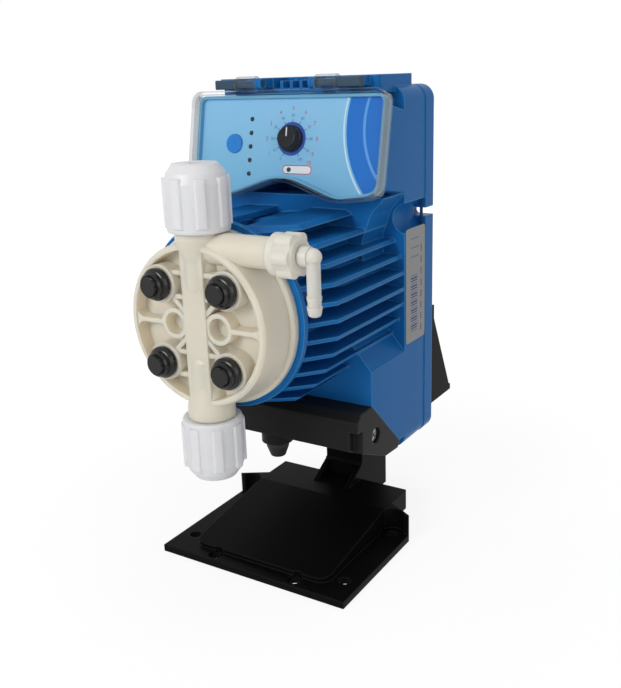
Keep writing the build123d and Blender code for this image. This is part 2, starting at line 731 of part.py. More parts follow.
gland_top = 68.5
with BuildPart() as connector_cover:
    add(slab(side_outline(connector_side), side_plane, case_half, both=True))
    for side in (-1, 1):
        with BuildSketch(Plane.XY.offset(connector_low - 6)):
            with Locations((side * case_half, y_at(connector_front))):
                Rectangle(2 * corner_notch, 2 * corner_notch)
        extrude(amount=17, mode=Mode.SUBTRACT)
    diag_face = connector_cover.faces().filter_by(GeomType.PLANE).sort_by(
        Axis((0, 0, 0), (0, diag_run[1], diag_run[0])))[-1]
    offset(amount=-connector_skin, openings=[diag_face])
    for side in (-1, 1):
        add(rod(Plane.YZ.offset(side * case_half - 4), 5.4, 8, (y_at(side_screw_at[0]), side_screw_at[1])),
            mode=Mode.SUBTRACT)
        well = Plane.YZ.offset(min(side * case_half, side * (case_half - 8)))
        add(slab([(y_at(side_screw_at[0]) + dx, side_screw_at[1] + dz)
                  for dx, dz in ((-6.5, -6.5), (6.5, -6.5), (6.5, 6.5), (-6.5, 6.5))], well, 8))
        add(rod(Plane.YZ.offset(side * case_half - 4), 4.4, 8, (y_at(side_screw_at[0]), side_screw_at[1])),
            mode=Mode.SUBTRACT)
        add(rod(Plane.YZ.offset(side * case_half - 9), 2.1, 18, (y_at(side_screw_at[0]), side_screw_at[1])),
            mode=Mode.SUBTRACT)
    with BuildSketch(Plane.XY.offset(62.0)):
        with Locations((gland_x, y_at(gland_depth))):
            Circle(9)
    extrude(amount=6.5)
    with BuildSketch(Plane.XY.offset(58.0)):
        with Locations((gland_x, y_at(gland_depth))):
            Circle(5)
    extrude(amount=14, mode=Mode.SUBTRACT)
    with BuildSketch(Plane.XY.offset(gland_top)):
        with Locations((gland_x, y_at(gland_depth))):
            Circle(7.8)
    extrude(amount=6, mode=Mode.SUBTRACT)
connector_cover.part.label = "connector_cover"

with BuildPart() as cover_screws:
    for side in (-1, 1):
        seat = Plane((side * (case_half - 8), y_at(side_screw_at[0]), side_screw_at[1]), z_dir=(side, 0, 0))
        add(rod(seat.offset(-7), 2.0, 11))
        add(rod(seat.offset(4), 3.4, 2.4))
cover_screws.part.label = "cover_screws"

with BuildPart() as cable_gland:
    add(turned([(cable_r, 52.5), (4.2, 52.5), (6.4, 58.5), (6.7, 62.0), (4.95, 62.0), (4.95, gland_top),
                (7.5, gland_top),
                (7.5, gland_top + 2), (cable_r, gland_top + 2)], gland_plane, gland_axis))
    fillet(cable_gland.edges().filter_by(GeomType.CIRCLE).sort_by(Axis.Z)[1], 1)
cable_gland.part.label = "cable_gland"

terminal_plane = Plane((0, y_at(diag_inner[0] + 12), diag_inner[1] + 12 * 0.975), x_dir=(1, 0, 0),
                       z_dir=(0, -diag_run[1], -diag_run[0]))
with BuildPart() as terminal_block:
    with BuildSketch(terminal_plane):
        Rectangle(58, 12)
    extrude(amount=10)
    with BuildSketch(terminal_plane.offset(10)):
        with GridLocations(7, 1, 8, 1):
            Circle(2)
    extrude(amount=-4, mode=Mode.SUBTRACT)
terminal_block.part.label = "terminal_block"

# ---------------------------------------------------------------- pump head
head_floor = head_face + head_rim_depth - pocket_depth
head_rim = head_face + head_rim_depth
passage_r = 1.75
cage_r = valve_bore_r - 0.1
seat_thick = 2.4
cage_length = 20.0
top_seat_z = 21.0
low_seat_z = -45.0
column_r = 6.5
barrel_r = valve_bore_r + 2
cell_r = 5.4
root_r = 4.5
cell_x = column_width / 2 + cell_r + rib / 2

with BuildPart() as pump_head:
    add(turned([(0, head_face + chamber_depth), (8, head_face + chamber_depth),
                (chamber_r, head_face + 1.5),
                (chamber_r, head_face), (head_r, head_face), (head_r, head_face + head_flange - 1),
                (head_r - 1, head_face + head_flange), (head_wall_r, head_face + head_flange),
                (rim_r + 0.7, head_rim - 1.2),
                (rim_r - 0.6, head_rim), (rim_r - rim_width, head_rim), (rim_r - rim_width, head_floor),
                (0, head_floor)],
               drum_plane, drum_axis))
    # front ribs: an upright column, a level rib that runs out into the rim, two diagonals and two round cells
    with BuildSketch(front_plane(head_floor, axis_z)):
        Rectangle(column_width, 2 * rim_r - 2)
    extrude(amount=pocket_depth - 0.2)
    with BuildSketch(front_plane(head_floor, axis_z)):
        with Locations(*[(side * cell_x, 0) for side in (-1, 1)]):
            Circle(cell_r + rib)
        Rectangle(2 * rim_r - 2, rib)
        for angle in (45, -45):
            with Locations(Rot(0, 0, angle)):
                Rectangle(2 * rim_r - 2, rib)
        with Locations(*[(side * cell_x, 0) for side in (-1, 1)]):
            Circle(cell_r, mode=Mode.SUBTRACT)
        with Locations(*[(side * (rim_r - rim_width - 2), 0) for side in (-1, 1)]):
            Rectangle(5, 2 * root_r + rib)
        with Locations(*[(sx * (rim_r - rim_width - root_r), sz * (root_r + rib / 2)) for sx in (-1,
                1) for sz in (-1, 1)]):
            Circle(root_r, mode=Mode.SUBTRACT)
    extrude(amount=pocket_depth - 0.8)
    # arms that tie the bosses to the column leave a small square window beside each
    with BuildSketch(front_plane(head_floor, axis_z)):
        with Locations(*[(x / 2, z + sign * boss_r * 0.62) for x, z in bolt_places for sign in (-1, 1)]):
            Rectangle(abs(bolt_places[0][0]), rib)
    extrude(amount=pocket_depth - 0.8)
    with BuildSketch(front_plane(head_floor, axis_z)):
        with Locations(*bolt_places):
            Circle(boss_r)
    extrude(amount=head_face + boss_front - head_floor)
    # upright valve barrels, above and below
    add(turned([(0, column_r + 9), (barrel_r - 1, column_r + 9), (barrel_r, 18), (barrel_r, rim_r - 8),
                (neck_r, rim_r + 2),
                (neck_r, top_nut_from - 0.3), (thread_r, top_nut_from - 0.3), (thread_r, top_nut_from + 13),
                (0, top_nut_from + 13)], valve_plane, valve_axis))
    add(turned([(0, -column_r - 9), (barrel_r - 1, -column_r - 9), (barrel_r, -18), (barrel_r, 8 - rim_r),
                (neck_r, -rim_r - 2),
                (neck_r, -bottom_nut_from + 0.3), (thread_r, -bottom_nut_from + 0.3),
                (thread_r, -bottom_nut_from - 13),
                (0, -bottom_nut_from - 13)], valve_plane, valve_axis))
    # side boss for the bleed valve
    add(turned([(0, 0), (bleed_boss_r, 0), (bleed_boss_r, bleed_boss_end), (5.4, bleed_boss_end),
                (5.4, bleed_boss_end + 6), (0, bleed_boss_end + 6)],
               Plane((0, valve_y, bleed_z), x_dir=(0, 0, 1), z_dir=(0, 1, 0)), bleed_axis))
    # bores: valve pockets, passages to the chamber, bleed bore, bolt holes with counterbores
    add(turned([(0, top_seat_z), (valve_bore_r, top_seat_z), (valve_bore_r, 60), (0, 60)], valve_plane,
               valve_axis),
        mode=Mode.SUBTRACT)
    add(turned([(0, low_seat_z + seat_thick + cage_length + 0.4),
                (valve_bore_r, low_seat_z + seat_thick + cage_length + 0.4), (valve_bore_r, -65), (0, -65)],
               valve_plane, valve_axis), mode=Mode.SUBTRACT)
    add(turned([(0, low_seat_z), (passage_r, low_seat_z), (passage_r, top_seat_z + 1), (0, top_seat_z + 1)],
               valve_plane, valve_axis), mode=Mode.SUBTRACT)
    add(rod(front_plane(head_face, axis_z), passage_r, valve_depth - head_face), mode=Mode.SUBTRACT)
    add(turned([(0, valve_bore_r - 1), (2.7, valve_bore_r - 1), (2.7, bleed_boss_end + 7),
                (0, bleed_boss_end + 7)],
               Plane((0, valve_y, bleed_z), x_dir=(0, 0, 1), z_dir=(0, 1, 0)), bleed_axis),
               mode=Mode.SUBTRACT)
    for x, z in bolt_places:
        add(rod(front_plane(head_face - 1, axis_z), bolt_r + 0.3, boss_front + 2, (x, z)),
            mode=Mode.SUBTRACT)
        add(rod(front_plane(head_face + boss_front - 6, axis_z), 2 * bolt_r + 0.2, 7, (x, z)),
            mode=Mode.SUBTRACT)
pump_head.part.label = "pump_head"

with BuildPart() as head_bolts:
    for x, z in bolt_places:
        add(rod(front_plane(head_face - bolt_grip + 0.5, axis_z), bolt_r, bolt_grip + boss_front - 6.5,
                (x, z)))
        add(rod(front_plane(head_face + boss_front - 6, axis_z), 1.8 * bolt_r, 5, (x, z)))
    with BuildSketch(front_plane(head_face + boss_front - 1, axis_z)):
        with Locations(*bolt_places):
            RegularPolygon(2.3, 6)
    extrude(amount=-2.6, mode=Mode.SUBTRACT)
head_bolts.part.label = "head_bolts"

with BuildPart() as bolt_caps:
    for x, z in bolt_places:
        add(turned([(0, 3.6), (cap_r - 2.6, 3.6), (cap_r - 2.6, 0), (cap_r - 0.5, 0), (cap_r, 0.6),
                    (cap_r, 2.6), (cap_r - 0.9, 3.6),
                    (cap_r - 1.5, 3.9), (cap_r - 1.5, cap_height - 2.2), (cap_r - 2.3, cap_height - 1.2),
                    (cap_r - 3.0, cap_height - 1.4), (cap_r - 3.5, cap_height), (0, cap_height)],
                   Plane((x, y_at(head_face + boss_front), axis_z + z), x_dir=(1, 0, 0), z_dir=(0, 0, -1)),
                   Axis((x, y_at(head_face + boss_front), axis_z + z), (0, -1, 0))))
bolt_caps.part.label = "bolt_caps"


# ---------------------------------------------------------------- valves and hose nuts
def ring_nut(start, way):
    """Ribbed hose nut, from its open end at a height above the drum axis; way is +1 up, -1 down."""
    bore = thread_r + running
    hole = hose_r + 0.3
    body = turned([(bore, start), (nut_r - 1.2, start), (nut_r - 0.8, start + way * 1.0),
                   (nut_r - 0.8, start + way * 22),
                   (nut_r - 2.0, start + way * 26.5), (nut_r - 5.0, start + way * nut_length),
                   (hole, start + way * nut_length),
                   (hole, start + way * (nut_length - nut_wall)),
                   (6.2, start + way * (nut_length - nut_wall)),
                   (bore, start + way * (nut_length - 10))],
                  valve_plane, valve_axis)
    with BuildPart(mode=Mode.PRIVATE) as nut:
        add(body)
        with BuildSketch(Plane((0, valve_y, axis_z + start + way * 2.5), z_dir=(0, 0, way))):
            with PolarLocations(nut_r - 1.9, 8):
                RectangleRounded(3.8, 5.4, 1.2)
        extrude(amount=22)
    return nut.part


def valve_cage(foot):
    """Cage of a ball check valve, standing on its seat ring."""
    base = foot + seat_thick
    with BuildPart(mode=Mode.PRIVATE) as cage:
        add(turned([(ball_r + 0.9, base), (cage_r, base), (cage_r, base + cage_length),
                    (2.6, base + cage_length),
                    (2.6, base + 3 * ball_r + ball_lift),
                    (ball_r + 0.9, base + 2 * ball_r + ball_lift + 0.9)],
                   valve_plane, valve_axis))
        with BuildSketch(Plane((0, valve_y, axis_z + base + cage_length), z_dir=(0, 0, 1))):
            Rectangle(2 * cage_r - 3, 1.6)
        extrude(amount=-2, mode=Mode.SUBTRACT)
    return cage.part


def valve_seat(foot):
    """Seat ring with a coned lip for the ball."""
    return turned([(passage_r + 0.4, foot), (cage_r, foot), (cage_r, foot + seat_thick),
                   (ball_r - 0.4, foot + seat_thick),
                   (passage_r + 0.4, foot + seat_thick - 0.9)], valve_plane, valve_axis)


def valve_ball(foot):
    """Ball resting just above its seat."""
    with BuildPart(mode=Mode.PRIVATE) as ball:
        with Locations((0, valve_y, axis_z + foot + seat_thick + ball_r - 0.6)):
            Sphere(ball_r)
    return ball.part


with BuildPart() as discharge_nut:
    add(ring_nut(top_nut_from, 1))
discharge_nut.part.label = "discharge_nut"

with BuildPart() as suction_nut:
    add(ring_nut(-bottom_nut_from, -1))
suction_nut.part.label = "suction_nut"

with BuildPart() as discharge_cage:
    add(valve_cage(top_seat_z))
discharge_cage.part.label = "discharge_cage"

with BuildPart() as suction_cage:
    add(valve_cage(low_seat_z))
suction_cage.part.label = "suction_cage"

with BuildPart() as discharge_seat:
    add(valve_seat(top_seat_z))
discharge_seat.part.label = "discharge_seat"

with BuildPart() as suction_seat:
    add(valve_seat(low_seat_z))
suction_seat.part.label = "suction_seat"

with BuildPart() as discharge_ball:
    add(valve_ball(top_seat_z))
discharge_ball.part.label = "discharge_ball"

with BuildPart() as suction_ball:
    add(valve_ball(low_seat_z))
suction_ball.part.label = "suction_ball"


def hose_spigot(end, way, plug):
    """Coned hose spigot on a plug that holds the valve cage down; the plug has a seal groove."""
    groove = end - way * plug / 2
    return turned([(1.4, end - way * plug), (cage_r, end - way * plug), (cage_r, groove - way * 1.1),
                   (cage_r - 1.8, groove - way * 1.1), (cage_r - 1.8, groove + way * 1.1),
                   (cage_r, groove + way * 1.1),
                   (cage_r, end), (thread_r - 0.4, end), (thread_r - 0.4, end + way * 1.8),
                   (3.4, end + way * 2.4),
                   (1.95, end + way * 9), (1.4, end + way * 9)], valve_plane, valve_axis)


def plug_ring(end, way, plug):
    """Seal ring in the plug's groove."""
    with BuildPart(mode=Mode.PRIVATE) as ring:
        with BuildSketch(valve_plane):
            with Locations((cage_r - 0.85, end - way * plug / 2)):
                Circle(0.85)
        revolve(axis=valve_axis)
    return ring.part


def clamp_ring(end, way):
    """Ring that the nut presses down on the hose."""
    return turned([(4.2, end + way * 4.2), (9.0, end + way * 4.2), (9.0, end + way * 7.0),
                   (5.6, end + way * 11.2),
                   (hose_r + 0.25, end + way * 11.2), (hose_r + 0.25, end + way * 6.6)], valve_plane,
                   valve_axis)


top_end = top_nut_from + 13
low_end = -bottom_nut_from - 13
top_plug = top_end - (top_seat_z + seat_thick + cage_length)
low_plug = low_seat_z - low_end

with BuildPart() as hose_spigots:
    add(hose_spigot(top_end, 1, top_plug))
    add(hose_spigot(low_end, -1, low_plug))
hose_spigots.part.label = "hose_spigots"

with BuildPart() as valve_seals:
    add(plug_ring(top_end, 1, top_plug))
    add(plug_ring(low_end, -1, low_plug))
valve_seals.part.label = "valve_seals"

with BuildPart() as clamp_rings:
    add(clamp_ring(top_end, 1))
    add(clamp_ring(low_end, -1))
clamp_rings.part.label = "clamp_rings"

# ---------------------------------------------------------------- bleed valve
bleed_lathe = Plane((0, valve_y, bleed_z), x_dir=(0, 0, 1), z_dir=(0, 1, 0))
needle_r = 2.65
knob_start = bleed_boss_end + 0.3
knob_end = knob_start + bleed_knob_length

with BuildPart() as bleed_knob:
    add(turned([(5.45, knob_start), (bleed_knob_r - 1.9, knob_start),
                (bleed_knob_r - 0.9, knob_start + 1.0),
                (bleed_knob_r - 0.9, knob_start + 4.0), (bleed_knob_r - 1.6, knob_start + 5.0),
                (bleed_knob_r - 1.6, knob_end - 1.2), (bleed_knob_r - 2.8, knob_end),
                (needle_r + 0.02, knob_end),
                (needle_r + 0.02, knob_end - 2), (5.45, knob_end - 2)], bleed_lathe, bleed_axis))
    with BuildSketch(Plane((knob_start + 4.6, valve_y, bleed_z), z_dir=(1, 0, 0))):
        with PolarLocations(bleed_knob_r - 3.6, 6, 30):
            Circle(3.6)
    extrude(amount=bleed_knob_length - 5.6)
    add(rod(Plane((knob_start - 1, valve_y, bleed_z), z_dir=(1, 0, 0)), 5.45, bleed_knob_length - 1),
        mode=Mode.SUBTRACT)
bleed_knob.part.label = "bleed_knob"

with BuildPart() as bleed_needle:
    add(turned([(0, 12), (needle_r - 0.4, 16), (needle_r, 17), (needle_r, knob_end), (1.7, knob_end),
                (1.7, knob_end - 6),
                (1.0, knob_end - 6), (1.0, 19), (0, 19)], bleed_lathe, bleed_axis))
    with BuildSketch(Plane((21, valve_y, bleed_z), x_dir=(1, 0, 0), z_dir=(0, 0, 1))):
        Circle(0.8)
    extrude(amount=4, both=True, mode=Mode.SUBTRACT)
bleed_needle.part.label = "bleed_needle"

with BuildPart() as bleed_elbow:
    add(turned([(0, knob_end - 5), (1.65, knob_end - 5), (1.65, knob_end + 0.2), (4.6, knob_end + 0.2),
                (4.4, bleed_tube_x - 1.4), (0, bleed_tube_x - 1.4)], bleed_lathe, bleed_axis))
    with Locations((bleed_tube_x, valve_y, bleed_z)):
        Sphere(bleed_tube_r + 0.6)
    add(rod(Plane((bleed_tube_x, valve_y, bleed_z), z_dir=(0, 0, -1)), bleed_tube_r - 0.2, bleed_drop - 8))
    add(turned([(0, -bleed_drop), (bleed_tube_r - 1.6, -bleed_drop),
                (bleed_tube_r - 0.7, -bleed_drop + 0.5),
                (bleed_tube_r - 0.3, -bleed_drop + 1.4), (bleed_tube_r + 0.2, -bleed_drop + 4.6),
                (bleed_tube_r - 0.3, -bleed_drop + 4.6), (bleed_tube_r - 0.3, -bleed_drop + 6.0),
                (bleed_tube_r + 0.2, -bleed_drop + 9.0), (0, -bleed_drop + 9.0)],
               Plane((bleed_tube_x, valve_y, bleed_z), x_dir=(1, 0, 0), z_dir=(0, -1, 0)),
               Axis((bleed_tube_x, valve_y, bleed_z), (0, 0, 1))))
    add(rod(Plane((bleed_tube_x, valve_y, bleed_z), z_dir=(0, 0, -1)), 1.6, bleed_drop + 1),
        mode=Mode.SUBTRACT)
    add(rod(Plane((knob_end - 6, valve_y, bleed_z), z_dir=(1, 0, 0)), 0.9, bleed_tube_x - knob_end + 6),
        mode=Mode.SUBTRACT)
bleed_elbow.part.label = "bleed_elbow"

# ---------------------------------------------------------------- drive inside the drum
nose_back = head_face - nose_wall
seat_back = head_face - seat_depth
coil_back = 42.0
coil_front = nose_back - 4.0
gap_depth = 78.0
armature_back = 50.0
yoke_wall = 3.0
bobbin_r = armature_r + 0.6
winding_r = 24.5
face_gap = stroke + 0.6
collar_r = 2 * rod_r
collar_front = gap_depth + 7.5
disc_depth = head_face - 2.0
hub_r = 7.0


def drum_turn(points):
    """Solid of revolution about the drum's axis, from (radius, depth) points."""
    return turned(points, drum_plane, drum_axis)


with BuildPart() as solenoid_yoke:
    add(drum_turn([(armature_r + 0.4, coil_back), (bore_r - 0.3, coil_back), (bore_r - 0.3, coil_front),
                   (armature_r + 1.2, coil_front), (armature_r + 1.2, coil_front - 4),
                   (bore_r - 0.3 - yoke_wall, coil_front - 4),
                   (bore_r - 0.3 - yoke_wall, coil_back + 4), (armature_r + 0.4, coil_back + 4)]))
solenoid_yoke.part.label = "solenoid_yoke"

with BuildPart() as coil_bobbin:
    add(drum_turn([(bobbin_r, coil_back + 4.3), (winding_r + 2, coil_back + 4.3),
                   (winding_r + 2, coil_back + 6.3),
                   (bobbin_r + 1.6, coil_back + 6.3), (bobbin_r + 1.6, coil_front - 6.3),
                   (winding_r + 2, coil_front - 6.3),
                   (winding_r + 2, coil_front - 4.3), (bobbin_r, coil_front - 4.3)]))
coil_bobbin.part.label = "coil_bobbin"

with BuildPart() as coil_winding:
    add(drum_turn([(bobbin_r + 1.8, coil_back + 6.5), (winding_r, coil_back + 6.5),
                   (winding_r, coil_front - 6.5),
                   (bobbin_r + 1.8, coil_front - 6.5)]))
coil_winding.part.label = "coil_winding"

with BuildPart() as pole_piece:
    add(drum_turn([(collar_r + 0.3, gap_depth + face_gap), (armature_r + 0.3, gap_depth + face_gap),
                   (armature_r + 0.3, coil_front - 4.2), (armature_r + 1.1, coil_front - 4.2),
                   (armature_r + 1.1, coil_front + 3), (collar_r + 0.3, coil_front + 3)]))
pole_piece.part.label = "pole_piece"

with BuildPart() as armature:
    add(drum_turn([(0, armature_back), (armature_r, armature_back), (armature_r, gap_depth),
                   (collar_r, gap_depth),
                   (collar_r, collar_front), (rod_r, collar_front), (rod_r, disc_depth - 2.5),
                   (2, disc_depth - 2.5), (2, disc_depth + 1), (0, disc_depth + 1)]))
armature.part.label = "armature"

with BuildPart() as guide_bush:
    add(drum_turn([(rod_r + running, nose_back + 0.2), (bush_r - 0.1, nose_back + 0.2),
                   (bush_r - 0.1, seat_back - 1),
                   (rod_r + running, seat_back - 1)]))
guide_bush.part.label = "guide_bush"

with BuildPart() as backing_ring:
    add(drum_turn([(hub_r + 1, seat_back + 0.2), (seat_r - 0.2, seat_back + 0.2),
                   (seat_r - 0.2, disc_depth), (hub_r + 3, disc_depth)]))
backing_ring.part.label = "backing_ring"

web_r = hub_r + 0.4
with BuildPart() as diaphragm:
    add(drum_turn([(web_r, disc_depth + 0.3), (chamber_r - 3, disc_depth + 0.3),
                   (chamber_r - 1, disc_depth + 0.1),
                   (seat_r - 0.3, disc_depth + 0.1), (seat_r - 0.3, head_face - 0.1),
                   (chamber_r - 1.5, head_face - 0.1),
                   (web_r, head_face - 0.1)]))
diaphragm.part.label = "diaphragm"

with BuildPart() as diaphragm_hub:
    add(drum_turn([(2 + running, disc_depth - 2.4), (hub_r, disc_depth - 2.4), (hub_r, head_face - 0.1),
                   (hub_r - 1.5, head_face + 1), (0, head_face + 1), (0, disc_depth + 1.1),
                   (2 + running, disc_depth + 1.1)]))
diaphragm_hub.part.label = "diaphragm_hub"

# return spring between the guide bush's back and the armature's collar
wire_r = 0.7
spring_r = rod_r + 2.2
spring_from = collar_front + wire_r + 0.1
spring_to = nose_back - wire_r - stroke
with BuildPart() as return_spring:
    with BuildLine() as coil_path:
        Helix(pitch=(spring_to - spring_from) / 5, height=spring_to - spring_from, radius=spring_r,
              center=(0, y_at(spring_from), axis_z), direction=(0, -1, 0))
    with BuildSketch(Plane(coil_path.line @ 0, z_dir=coil_path.line % 0)):
        Circle(wire_r)
    sweep(is_frenet=True)
return_spring.part.label = "return_spring"

# ---------------------------------------------------------------- write every piece
os.makedirs("parts", exist_ok=True)
export_step(mounting_foot.part, "parts/mounting_foot.step")
export_step(bracket_screws.part, "parts/bracket_screws.step")
export_step(back_cover.part, "parts/back_cover.step")
export_step(case_screws.part, "parts/case_screws.step")
export_step(case_gasket.part, "parts/case_gasket.step")
export_step(housing.part, "parts/housing.step")
export_step(hinge_pins.part, "parts/hinge_pins.step")
export_step(clear_lid.part, "parts/clear_lid.step")
export_step(control_panel.part, "parts/control_panel.step")
export_step(select_button.part, "parts/select_button.step")
export_step(speed_knob.part, "parts/speed_knob.step")
export_step(knob_shaft.part, "parts/knob_shaft.step")
export_step(speed_potentiometer.part, "parts/speed_potentiometer.step")
export_step(indicator_lamps.part, "parts/indicator_lamps.step")
export_step(alarm_lamp.part, "parts/alarm_lamp.step")
export_step(button_switch.part, "parts/button_switch.step")
export_step(control_board.part, "parts/control_board.step")
export_step(power_board.part, "parts/power_board.step")
export_step(board_capacitors.part, "parts/board_capacitors.step")
export_step(board_pillars.part, "parts/board_pillars.step")
export_step(connector_cover.part, "parts/connector_cover.step")
export_step(cover_screws.part, "parts/cover_screws.step")
export_step(cable_gland.part, "parts/cable_gland.step")
export_step(terminal_block.part, "parts/terminal_block.step")
export_step(pump_head.part, "parts/pump_head.step")
export_step(head_bolts.part, "parts/head_bolts.step")
export_step(bolt_caps.part, "parts/bolt_caps.step")
export_step(discharge_nut.part, "parts/discharge_nut.step")
export_step(suction_nut.part, "parts/suction_nut.step")
export_step(discharge_cage.part, "parts/discharge_cage.step")
export_step(suction_cage.part, "parts/suction_cage.step")
export_step(discharge_seat.part, "parts/discharge_seat.step")
export_step(suction_seat.part, "parts/suction_seat.step")
export_step(discharge_ball.part, "parts/discharge_ball.step")
export_step(suction_ball.part, "parts/suction_ball.step")
export_step(hose_spigots.part, "parts/hose_spigots.step")
export_step(valve_seals.part, "parts/valve_seals.step")
export_step(clamp_rings.part, "parts/clamp_rings.step")
export_step(bleed_knob.part, "parts/bleed_knob.step")
export_step(bleed_needle.part, "parts/bleed_needle.step")
export_step(bleed_elbow.part, "parts/bleed_elbow.step")
export_step(solenoid_yoke.part, "parts/solenoid_yoke.step")
export_step(coil_bobbin.part, "parts/coil_bobbin.step")
export_step(coil_winding.part, "parts/coil_winding.step")
export_step(pole_piece.part, "parts/pole_piece.step")
export_step(armature.part, "parts/armature.step")
export_step(guide_bush.part, "parts/guide_bush.step")
export_step(backing_ring.part, "parts/backing_ring.step")
export_step(diaphragm.part, "parts/diaphragm.step")
export_step(diaphragm_hub.part, "parts/diaphragm_hub.step")
export_step(return_spring.part, "parts/return_spring.step")
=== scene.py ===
# %% [markdown]
# # A diaphragm metering pump
# The solid model of the pump is already packed as a frame. This lesson dresses it: it gives every
# moulded, turned and printed part its finish, adds the printed dial, the thin plate and dark bars of
# painted shade for the screws' cross recesses, which are too fine for the solids, and sets up a plain
# studio. Everything is in metres, in the frame's own axes.

# %% Load the frame
import bpy
import bmesh
import json
from math import cos, pi, radians, sin
from mathutils import Matrix, Vector


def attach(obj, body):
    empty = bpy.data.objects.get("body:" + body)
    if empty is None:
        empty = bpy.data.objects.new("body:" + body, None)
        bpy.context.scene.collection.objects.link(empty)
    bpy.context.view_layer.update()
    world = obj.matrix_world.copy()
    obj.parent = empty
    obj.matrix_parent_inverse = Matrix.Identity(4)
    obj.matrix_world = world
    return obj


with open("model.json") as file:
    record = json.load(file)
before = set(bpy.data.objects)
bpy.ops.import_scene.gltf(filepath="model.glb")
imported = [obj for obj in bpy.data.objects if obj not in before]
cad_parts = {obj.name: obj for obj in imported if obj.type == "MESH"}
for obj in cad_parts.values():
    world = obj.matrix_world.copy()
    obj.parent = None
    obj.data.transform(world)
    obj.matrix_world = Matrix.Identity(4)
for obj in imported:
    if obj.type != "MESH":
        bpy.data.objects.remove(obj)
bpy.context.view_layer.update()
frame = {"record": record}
MM = 0.001
MM_PER_METRE = 1000.0
EDGE_GAIN = 5.0
EDGE_MOST = 0.85

# %% [markdown]
# ## Shader maths as plain expressions
# A finish is a small graph of nodes. Writing the maths as Python expressions keeps it readable, so a
# wrapped socket knows how to add, multiply and compare, and each operator puts down one Math node.


# %% A wrapped socket
class Signal:
    """A node's output socket that can be used in expressions."""

    def __init__(self, finish, socket):
        self.finish = finish
        self.socket = socket

    def math(self, operation, *others):
        return self.finish.node("ShaderNodeMath", {"operation": operation}, self, *others)

    def __add__(self, other):
        return self.math("ADD", other)

    def __radd__(self, other):
        return self.finish.number(other).math("ADD", self)

    def __sub__(self, other):
        return self.math("SUBTRACT", other)

    def __rsub__(self, other):
        return self.finish.number(other).math("SUBTRACT", self)

    def __mul__(self, other):
        return self.math("MULTIPLY", other)

    def __rmul__(self, other):
        return self.finish.number(other).math("MULTIPLY", self)

    def __truediv__(self, other):
        return self.math("DIVIDE", other)

    def __lt__(self, other):
        return self.math("LESS_THAN", other)

    def __gt__(self, other):
        return self.math("GREATER_THAN", other)

    def __abs__(self):
        return self.math("ABSOLUTE")

    def __mod__(self, other):
        return self.math("FLOORED_MODULO", other)

    def root(self):
        return self.math("SQRT")

    def least(self, other):
        return self.math("MINIMUM", other)

    def most(self, other):
        return self.math("MAXIMUM", other)


class Number:
    """A plain number that stands first in an expression."""

    def __init__(self, finish, value):
        self.finish = finish
        self.value = value

    def math(self, operation, other):
        return self.finish.node("ShaderNodeMath", {"operation": operation}, self.value, other)


# %% A graph of nodes
class Graph:
    """The nodes of one material, or of the world."""

    def __init__(self, tree):
        self.tree = tree

    def number(self, value):
        return Number(self, value)

    def plug(self, socket, value):
        if isinstance(value, Signal):
            self.tree.links.new(value.socket, socket)
        else:
            socket.default_value = value

    def node(self, kind, settings, *inputs, out=0, **named):
        made = self.tree.nodes.new(kind)
        for key, value in settings.items():
            setattr(made, key, value)
        for socket, value in zip(made.inputs, inputs):
            self.plug(socket, value)
        for key, value in named.items():
            self.plug(made.inputs[key.replace("_", " ")], value)
        return Signal(self, made.outputs[out])

    def ray_kinds(self, *kinds):
        """One for any of the kinds of ray, and nothing for the rest."""
        first, *others = [self.node("ShaderNodeLightPath", {}, out=kind) for kind in kinds]
        for other in others:
            first = first.most(other)
        return first


